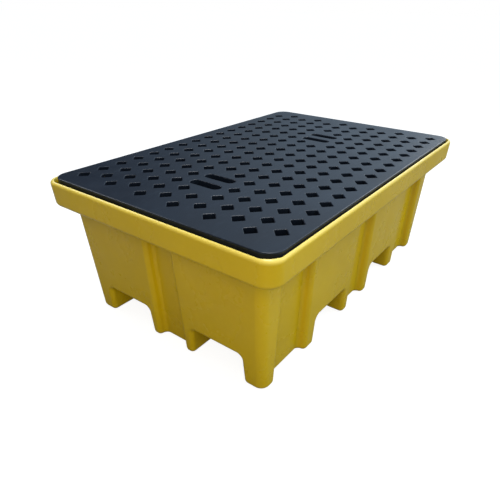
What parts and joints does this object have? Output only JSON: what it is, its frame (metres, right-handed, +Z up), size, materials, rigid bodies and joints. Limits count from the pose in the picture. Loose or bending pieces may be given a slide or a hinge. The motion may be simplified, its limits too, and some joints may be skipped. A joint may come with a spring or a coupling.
{
  "type": "spill containment pallet",
  "caption": "Moulded yellow sump on feet, with fork entry from every side, under a dark perforated deck that lifts out. Holds drums and catches their leaks.",
  "frame": {"origin": "on the ground, under the middle of the pallet", "axes": "+X along the long side, +Y along the short side, +Z up"},
  "size_m": [1.304, 0.842, 0.48],
  "materials": {
    "sump_plastic": "satin moulded polyethylene",
    "deck_plastic": "satin moulded polyethylene",
    "pillar_plastic": "extruded pipe, matt"
  },
  "bodies": {
    "sump": {"sump": "sump_plastic", "pillar_1": "pillar_plastic", "pillar_2": "pillar_plastic", "pillar_3": "pillar_plastic", "pillar_4": "pillar_plastic"},
    "deck": {"deck": "deck_plastic"}
  },
  "joints": [
    {"name": "deck_lift", "type": "slide", "parent": "sump", "child": "deck", "axis": [0, 0, 1], "range_m": [0, 0.4]}
  ]
}
